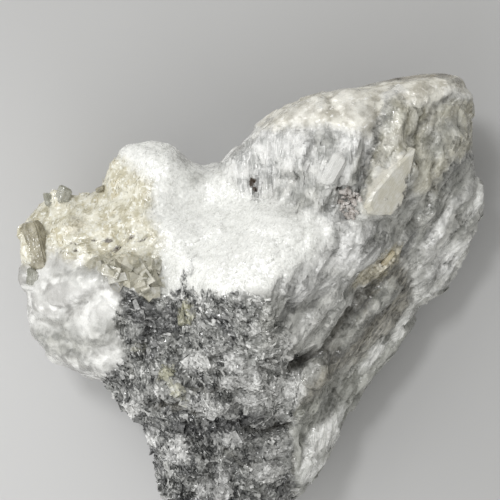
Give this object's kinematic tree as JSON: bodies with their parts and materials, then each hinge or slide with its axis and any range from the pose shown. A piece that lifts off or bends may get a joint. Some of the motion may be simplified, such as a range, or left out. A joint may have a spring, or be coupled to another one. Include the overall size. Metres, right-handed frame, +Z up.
{
  "type": "hydroboracite specimen",
  "caption": "Hand-sized broken lump of white fibrous borate mineral with a grey hackly slope, banded flank and small crystals, lying on its flat back.",
  "frame": {"origin": "on the plane that the lump rests on, below its middle", "axes": "+Z up, away from the resting face; +Y towards the thick far edge, away from the narrow stem; +X towards the banded flank"},
  "size_m": [0.0787, 0.0804, 0.0398],
  "materials": {
    "white_borate": "sugary and fibrous, slightly translucent, with glinting cleavage faces; grey and tan in places"
  },
  "bodies": {
    "root": {"hydroboracite_lump": "white_borate"}
  },
  "joints": []
}
